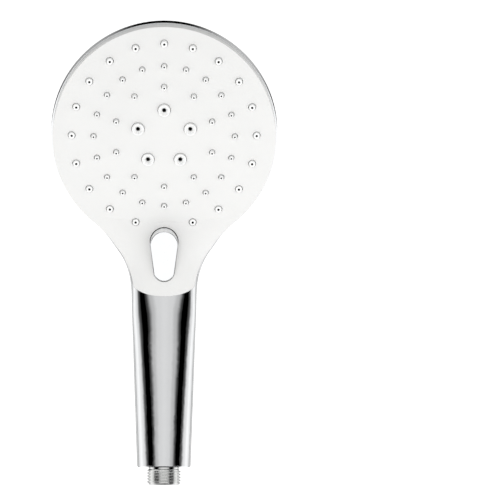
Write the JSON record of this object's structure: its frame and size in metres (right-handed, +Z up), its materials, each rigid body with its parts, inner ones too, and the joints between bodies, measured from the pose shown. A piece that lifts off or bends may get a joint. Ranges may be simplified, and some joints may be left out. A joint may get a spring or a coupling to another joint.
{
  "type": "handheld shower head",
  "caption": "Handheld shower head: tilted round spray face with domed back, tapering handle, spray selector button and threaded hose inlet.",
  "frame": {"origin": "centre of the end face of the inlet thread", "axes": "+Z up along the handle, -Y the way the spray leaves, X across the head"},
  "size_m": [0.14, 0.0652, 0.2873],
  "materials": {
    "chromed_plastic": "bright chrome plating on ABS",
    "chromed_brass": "bright chrome plating on brass",
    "white_plastic": "satin white",
    "nozzle_silicone": "smooth pale grey",
    "grey_plastic": "moulded",
    "acetal": "natural acetal",
    "stainless_steel": "plain",
    "seal_rubber": "matt black"
  },
  "bodies": {
    "root": {"handle_shell": "chromed_plastic", "rear_cover": "chromed_plastic", "face_plate": "white_plastic", "outer_nozzles": "nozzle_silicone", "rain_nozzles": "nozzle_silicone", "massage_nozzles": "nozzle_silicone", "channel_body": "grey_plastic", "channel_lid": "grey_plastic", "plate_screws": "stainless_steel", "cartridge_screws": "stainless_steel", "diverter_housing": "acetal", "outlet_gasket": "seal_rubber", "rod_seal": "seal_rubber", "button_spring": "stainless_steel", "water_tube": "grey_plastic", "tube_seal_upper": "seal_rubber", "tube_seal_lower": "seal_rubber", "inlet_nipple": "chromed_brass", "end_seal": "seal_rubber", "retaining_ring": "stainless_steel", "inlet_filter": "stainless_steel", "flow_limiter": "acetal", "check_valve_body": "acetal", "check_valve_seal": "seal_rubber", "check_valve_spring": "stainless_steel"},
    "button": {"button": "chromed_plastic", "push_rod": "stainless_steel", "rod_clip": "stainless_steel"},
    "diverter_rotor": {"diverter_rotor": "acetal"},
    "check_valve_poppet": {"check_valve_poppet": "acetal"}
  },
  "joints": [
    {"name": "button_press", "type": "slide", "parent": "root", "child": "button", "axis": [0, 0.9558, 0.294], "range_m": [0, 0.0025], "stiffness_N_per_m": 800, "springref_m": -0.005, "deforming": ["button_spring"]},
    {"name": "ratchet_turn", "type": "hinge", "parent": "root", "child": "diverter_rotor", "pos_m": [0, 0.00486, 0.14774], "axis": [0, 0.9558, 0.294], "range_deg": [0, 60.5]},
    {"name": "check_valve_lift", "type": "slide", "parent": "root", "child": "check_valve_poppet", "axis": [0, 0, 1], "range_m": [0, 0.002], "stiffness_N_per_m": 30, "springref_m": -0.003, "deforming": ["check_valve_spring"]}
  ],
  "couplings": [
    {"joint": "ratchet_turn", "follows": "button_press", "rad_per_m": 418.88}
  ]
}
